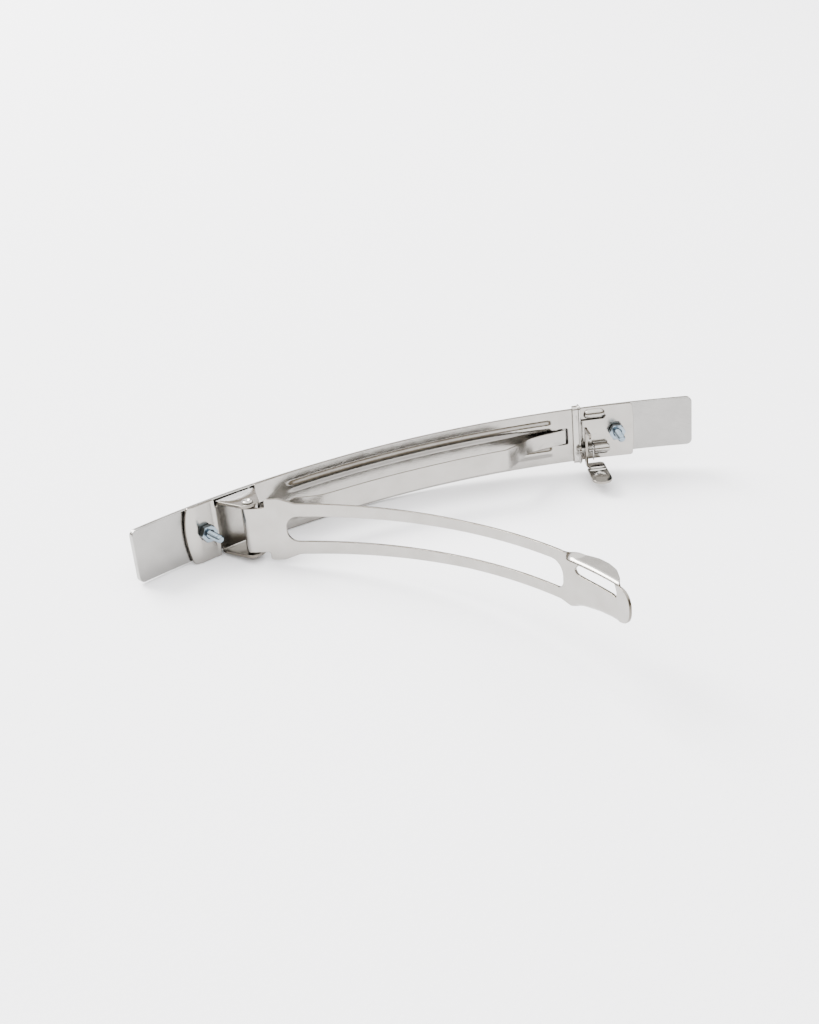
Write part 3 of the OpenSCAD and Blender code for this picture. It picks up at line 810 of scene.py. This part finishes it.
def tube(name, centres, radius, place, count=12):
    """A wire of that radius along centres, in the local frame that place() puts in the clip."""
    centres = np.array(centres, float)
    tangent = np.gradient(centres, axis=0)
    tangent /= np.linalg.norm(tangent, axis=1)[:, None]
    side = np.cross(tangent[0], (0.3, 0.5, 0.8))
    rings = []
    for p, t in zip(centres, tangent):
        side = side - t * (side @ t)
        side /= np.linalg.norm(side)
        other = np.cross(t, side)
        rings.append([p + radius * (math.cos(a) * side + math.sin(a) * other)
                      for a in (2 * math.pi * k / count for k in range(count))])
    return swept(name, rings, place, sharp=180)


def make_lever_spring():
    """Torsion spring: a leg, three and a half turns round the pin and a leg on the other side."""
    wire, coil, turns, leg, leg_start = 0.14, LEVER_PIN_R + 0.26, 3.5, 2.2, 0.2
    first, last = -1.5, -0.45
    count = 120
    path = [(coil, leg, first), (coil, leg / 2, first), (coil, leg_start, first)]
    for k in range(count + 1):
        a = 2 * math.pi * turns * k / count
        path.append((coil * math.cos(a), coil * math.sin(a), first + (last - first) * k / count))
    path += [(-coil, -leg_start, last), (-coil, -leg / 2, last), (-coil, -leg, last)]
    return tube("return_spring", path, wire, along_clasp)


def thread_radius(turn, h):
    """The thread's radius at a share of a turn and a height, with a chamfer at the tip."""
    crest, flank, chamfer = 0.15, 0.65, 0.3
    phase = (h / THREAD_PITCH - turn) % 1.0
    groove = max(0.0, min(1.0, (abs(phase - 0.5) * 2 - crest) / flank))
    radius = THREAD_R - THREAD_DEPTH * groove
    if h > STUD_LEN - chamfer:
        radius = min(radius, THREAD_R - (h - STUD_LEN + chamfer))
    return radius


def make_stud(name, s):
    """Weld flange and a helical M1.6 thread with a chamfered, dished tip."""
    count, rings_per_pitch = 30, 9
    flange = [(0.001, 0.0), (1.45, 0.0), (1.5, 0.06), (1.5, 0.22), (1.4, 0.3), (0.65, 0.32)]
    rings = [round_ring(r, h, count) for r, h in flange]
    h = 0.36
    while h < STUD_LEN:
        angles = [2 * math.pi * k / count for k in range(count)]
        radii = [thread_radius(k / count, h) for k in range(count)]
        rings.append([(r * math.cos(a), r * math.sin(a), h) for r, a in zip(radii, angles)])
        h += THREAD_PITCH / rings_per_pitch
    rings.append(round_ring(THREAD_R - 0.34, STUD_LEN, count))
    rings.append(round_ring(0.25, STUD_LEN - 0.05, count))
    return swept(name, rings, on_stud(s), sharp=50)


def make_nut(name, s):
    """Hexagonal nut with chamfered corners and a countersunk bore."""
    count = 72
    sixth = math.pi / 3
    flat_r = NUT_AF / 2
    cone_r = flat_r * 0.985
    corner_r = flat_r * 1.135
    bore = THREAD_R - 0.02
    mouth, sink, edge, rounding = bore + 0.2, 0.18, 0.03, 0.04

    def hexagon(inset, share=1.0):
        """Radii round the hexagon, less an inset; share 0 to 1 goes from the cone's circle to the hexagon."""
        radii = []
        for k in range(count):
            off = (2 * math.pi * k / count + sixth / 2) % sixth - sixth / 2
            radius = min(flat_r / math.cos(sixth / 2 - abs(off)), corner_r)
            radii.append(cone_r + (radius - cone_r) * share - inset)
        return radii

    def ring(radii, height, side):
        """A ring of those radii whose corners drop away from a face on the chamfer's cone."""
        points = []
        for k, radius in enumerate(radii):
            a = 2 * math.pi * k / count
            drop = max(0.0, radius - cone_r) * math.tan(math.radians(30))
            points.append((radius * math.cos(a), radius * math.sin(a), nut_seat(s) + height + side * drop))
        return points
    around = [(hexagon(0, 0), 0), (hexagon(0, 0.5), 0), (hexagon(edge), 0), (hexagon(0), rounding)]
    rings = [ring([mouth] * count, 0, 0)]
    rings += [ring(radii, inset, 1) for radii, inset in around]
    rings += [ring(radii, NUT_H - inset, -1) for radii, inset in reversed(around)]
    rings.append(ring([mouth] * count, NUT_H, 0))
    rings += [ring([bore] * count, height, 0) for height in (NUT_H - sink, sink)]
    return swept(name, rings, on_stud(s), sharp=22, round_again=True)


# Materials

def nodes_of(name):
    """A new node material, its node tree and its Principled shader."""
    material = bpy.data.materials.new(name)
    material.use_nodes = True
    tree = material.node_tree
    shader = next(n for n in tree.nodes if n.type == "BSDF_PRINCIPLED")
    return material, tree, shader


def noise(tree, source, scale, stretch=(1, 1, 1), detail=4.0):
    """Noise read from a vector, stretched along its axes."""
    mapping = tree.nodes.new("ShaderNodeMapping")
    mapping.inputs["Scale"].default_value = stretch
    tree.links.new(source, mapping.inputs["Vector"])
    node = tree.nodes.new("ShaderNodeTexNoise")
    node.inputs["Scale"].default_value = scale
    node.inputs["Detail"].default_value = detail
    node.inputs["Roughness"].default_value = 0.55
    tree.links.new(mapping.outputs["Vector"], node.inputs["Vector"])
    return node.outputs["Fac"]


def turned(tree, source, angle):
    """A vector turned in the sheet's own plane."""
    node = tree.nodes.new("ShaderNodeMapping")
    node.inputs["Rotation"].default_value = (0, 0, angle)
    tree.links.new(source, node.inputs["Vector"])
    return node.outputs["Vector"]


def ramp(tree, source, stops):
    """A colour ramp over a value: stops are (position, colour)."""
    node = tree.nodes.new("ShaderNodeValToRGB")
    node.color_ramp.elements[0].position, node.color_ramp.elements[0].color = stops[0]
    node.color_ramp.elements[1].position, node.color_ramp.elements[1].color = stops[-1]
    for position, colour in stops[1:-1]:
        node.color_ramp.elements.new(position).color = colour
    tree.links.new(source, node.inputs["Fac"])
    return node.outputs["Color"]


def span(tree, source, low, high, start=0.3, end=0.7):
    """A value mapped from start..end to low..high."""
    node = tree.nodes.new("ShaderNodeMapRange")
    node.inputs["From Min"].default_value = start
    node.inputs["From Max"].default_value = end
    node.inputs["To Min"].default_value = low
    node.inputs["To Max"].default_value = high
    tree.links.new(source, node.inputs["Value"])
    return node.outputs["Result"]


def maths(tree, operation, a, b):
    """A sum, product or other pair operation; b is a socket or a number."""
    node = tree.nodes.new("ShaderNodeMath")
    node.operation = operation
    tree.links.new(a, node.inputs[0])
    if isinstance(b, (int, float)):
        node.inputs[1].default_value = b
    else:
        tree.links.new(b, node.inputs[1])
    return node.outputs["Value"]


def blend_colour(tree, factor, a, b):
    """Two colours mixed by a factor; each is a socket or a colour."""
    node = tree.nodes.new("ShaderNodeMix")
    node.data_type = "RGBA"
    tree.links.new(factor, node.inputs[0])
    for socket, value in ((node.inputs[6], a), (node.inputs[7], b)):
        if isinstance(value, tuple):
            socket.default_value = value
        else:
            tree.links.new(value, socket)
    return node.outputs[2]


def bump(tree, height, strength, distance, below=None):
    """A bump over another."""
    node = tree.nodes.new("ShaderNodeBump")
    node.inputs["Strength"].default_value = strength
    node.inputs["Distance"].default_value = distance
    tree.links.new(height, node.inputs["Height"])
    if below is not None:
        tree.links.new(below, node.inputs["Normal"])
    return node.outputs["Normal"]


def attribute(tree, name):
    """A mesh attribute's node."""
    node = tree.nodes.new("ShaderNodeAttribute")
    node.attribute_name = name
    return node


def metal(name, light, dark, edge_tone, rough, grain, scratch, wave):
    """Plated sheet metal: tone and gloss drift over the surface, fine lines run along the strip, with stray
    scratches, a slight waviness and edges with a tone of their own: a lighter edge tone is rubbed plating, a
    darker one is a painted dark reflection along the sheet's edges. rough is (low, high, more at an edge)."""
    material, tree, shader = nodes_of(name)
    flat = attribute(tree, "flat").outputs["Vector"]
    edge = attribute(tree, "edge").outputs["Fac"]
    cloud = noise(tree, flat, 0.22, detail=5)
    lines = noise(tree, flat, 1.0, stretch=(0.25, 14, 14), detail=3)
    cross = noise(tree, flat, 1.0, stretch=(9, 0.5, 0.5), detail=2)
    speck = noise(tree, flat, 5.5, detail=3)
    tone = ramp(tree, cloud, [(0.3, dark), (0.7, light)])
    tone = blend_colour(tree, span(tree, speck, 0, 0.35, 0.55, 0.8), tone, dark)
    # Edge mask, patchy with the cloud: rubbed plating where edge_tone is lighter, a painted dark reflection
    # where it is darker.
    edge_wear_and_dark_reflection = maths(tree, "MULTIPLY", edge, span(tree, cloud, 0.35, 1.0))
    tone = blend_colour(tree, edge_wear_and_dark_reflection, tone, edge_tone)
    tree.links.new(tone, shader.inputs["Base Color"])
    shader.inputs["Metallic"].default_value = 1.0
    gloss = maths(tree, "ADD", span(tree, cloud, rough[0], rough[1]), span(tree, lines, -0.03, 0.04))
    gloss = maths(tree, "ADD", gloss, maths(tree, "MULTIPLY", edge_wear_and_dark_reflection, rough[2]))
    tree.links.new(gloss, shader.inputs["Roughness"])
    marks = []
    for angle in (0.35, -0.6):
        streaks = noise(tree, turned(tree, flat, angle), 1.0, stretch=(0.12, 5, 5), detail=1)
        marks.append(span(tree, streaks, 0, 1, 0.66, 0.7))
    mark = maths(tree, "MAXIMUM", marks[0], marks[1])
    wave_depth, line_depth, mark_depth = 2 * MM, 0.03 * MM, 0.02 * MM
    normal = bump(tree, noise(tree, flat, 0.12, detail=2), wave, wave_depth)
    normal = bump(tree, lines, grain, line_depth, normal)
    normal = bump(tree, cross, grain * 0.35, mark_depth, normal)
    normal = bump(tree, mark, scratch, mark_depth, normal)
    tree.links.new(normal, shader.inputs["Normal"])
    return material


def floor_material():
    """Matte white paper with a faint tooth."""
    material, tree, shader = nodes_of("paper")
    place = tree.nodes.new("ShaderNodeTexCoord").outputs["Object"]
    cloud = noise(tree, place, 3.0, detail=3)
    tooth = noise(tree, place, 900.0, detail=3)
    tone = ramp(tree, cloud, [(0.3, (0.86, 0.86, 0.875, 1)), (0.7, (0.88, 0.88, 0.895, 1))])
    tree.links.new(tone, shader.inputs["Base Color"])
    tree.links.new(span(tree, tooth, 0.7, 0.85), shader.inputs["Roughness"])
    shader.inputs["Specular IOR Level"].default_value = 0.2
    tree.links.new(bump(tree, tooth, 0.25, 0.0002), shader.inputs["Normal"])
    return material


# Stage

TABLE_NORMAL = Vector((0.039, -0.138, 1.0)).normalized()


def make_floor(low):
    """A pale table under the clip, which lies on its long side and leans slightly."""
    half = 12.0
    across = TABLE_NORMAL.cross(Vector((0, 1, 0))).normalized()
    back = TABLE_NORMAL.cross(across)
    middle = TABLE_NORMAL * low
    mesh = bpy.data.meshes.new("table")
    signs = ((-1, -1), (1, -1), (1, 1), (-1, 1))
    corners = [middle + across * x * half + back * y * half for x, y in signs]
    if (corners[1] - corners[0]).cross(corners[2] - corners[1]).dot(TABLE_NORMAL) < 0:
        corners.reverse()
    mesh.from_pydata([tuple(c) for c in corners], [], [(0, 1, 2, 3)])
    table = bpy.data.objects.new("table", mesh)
    bpy.context.scene.collection.objects.link(table)
    table.data.materials.append(floor_material())


def make_camera():
    """The view from above the hinge end, on the hair side."""
    position = Vector((-92.02, -246.38, 107.13)) * MM
    right = Vector((0.91942, -0.38308, -0.08901))
    up = Vector((0.23344, 0.34943, 0.90742))
    data = bpy.data.cameras.new("camera")
    data.sensor_width = 36
    data.lens = 46.94
    data.clip_start = 0.01
    camera = bpy.data.objects.new("camera", data)
    turn = Matrix((right, up, right.cross(up))).transposed().to_4x4()
    camera.matrix_world = Matrix.Translation(position) @ turn
    bpy.context.scene.collection.objects.link(camera)
    bpy.context.scene.camera = camera


def area_light(name, position, target, size, power, colour):
    """A rectangular light that faces a target."""
    data = bpy.data.lights.new(name, "AREA")
    data.shape = "RECTANGLE"
    data.size, data.size_y = size
    data.energy = power
    data.color = colour
    light = bpy.data.objects.new(name, data)
    light.location = position
    light.rotation_euler = (Vector(target) - Vector(position)).to_track_quat("-Z", "Y").to_euler()
    bpy.context.scene.collection.objects.link(light)


def make_light():
    """A pale room that is darker and warmer towards the horizon, and one large soft light."""
    world = bpy.data.worlds.new("room")
    bpy.context.scene.world = world
    world.use_nodes = True
    tree = world.node_tree
    background = next(n for n in tree.nodes if n.type == "BACKGROUND")
    direction = tree.nodes.new("ShaderNodeTexCoord").outputs["Generated"]
    split = tree.nodes.new("ShaderNodeSeparateXYZ")
    tree.links.new(direction, split.inputs["Vector"])
    stops = [(0.0, (0.09, 0.075, 0.055, 1)), (0.34, (0.15, 0.13, 0.105, 1)), (0.56, (0.9, 0.9, 0.92, 1)),
             (1.0, (1, 1, 1, 1))]
    sky = ramp(tree, split.outputs["Z"], stops)
    tree.links.new(sky, background.inputs["Color"])
    background.inputs["Strength"].default_value = 4.6
    area_light("key", position=(-0.5, 0.75, 1.1), target=(0, -0.02, 0), size=(0.9, 0.7), power=66,
               colour=(1.0, 0.99, 0.98))


# Assembly

def table_height():
    """How low the CAD pieces reach along the table's normal."""
    normal = np.array(TABLE_NORMAL)
    lows = []
    for node in frame["nodes"].values():
        points = np.array([v.co for v in node.data.vertices])
        lows.append(float((points @ normal).min()))
    return min(lows)


def dress(piece, node, body, material):
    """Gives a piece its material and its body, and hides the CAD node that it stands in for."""
    piece.data.materials.clear()
    piece.data.materials.append(material)
    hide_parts(node)
    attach(piece, body)


make_camera()
make_light()
make_floor(table_height())

SATIN = metal("satin_nickel", light=(0.288, 0.282, 0.268, 1), dark=(0.245, 0.24, 0.228, 1),
              edge_tone=(0.37, 0.365, 0.35, 1), rough=(0.12, 0.2, -0.02), grain=0.35, scratch=0.2, wave=0.05)
# The dark brown edge_tone is a painted dark reflection along the sheet edges, not wear.
BRIGHT = metal("bright_nickel", light=(0.355, 0.343, 0.322, 1), dark=(0.31, 0.298, 0.277, 1),
               edge_tone=(0.15, 0.13, 0.105, 1), rough=(0.03, 0.07, 0.08), grain=0.12, scratch=0.14,
               wave=0.04)
# The dark brown edge_tone is a painted dark reflection along the sheet edges, not wear.
DRAWN = metal("drawn_nickel", light=(0.335, 0.322, 0.3, 1), dark=(0.285, 0.273, 0.251, 1),
              edge_tone=(0.11, 0.095, 0.075, 1), rough=(0.14, 0.2, 0.05), grain=0.18, scratch=0.16, wave=0.03)
ZINC = metal("blue_zinc", light=(0.25, 0.31, 0.35, 1), dark=(0.16, 0.2, 0.24, 1),
             edge_tone=(0.42, 0.48, 0.52, 1), rough=(0.14, 0.24, 0.0), grain=0.3, scratch=0.1, wave=0.05)

dress(make_plate(), "cover_plate", "clip", SATIN)
dress(make_base(), "base_frame", "clip", DRAWN)
dress(make_bow(), "tension_spring", "clip", DRAWN)
dress(make_band(), "catch_band", "clip", BRIGHT)
dress(make_lever_pin(), "lever_pin", "clip", BRIGHT)
dress(make_hinge_pin(), "hinge_pin", "clip", BRIGHT)
dress(make_lever_spring(), "lever_spring", "clip", BRIGHT)
for place_s, word in ((LEFT_STUD_S, "left"), (RIGHT_STUD_S, "right")):
    dress(make_stud(word + "_threaded_stud", place_s), word + "_stud", "clip", ZINC)
    dress(make_nut(word + "_hex_nut", place_s), word + "_nut", "clip", ZINC)
dress(make_arm(), "clamp_arm", "arm", DRAWN)
dress(make_lever(), "release_lever", "lever", BRIGHT)
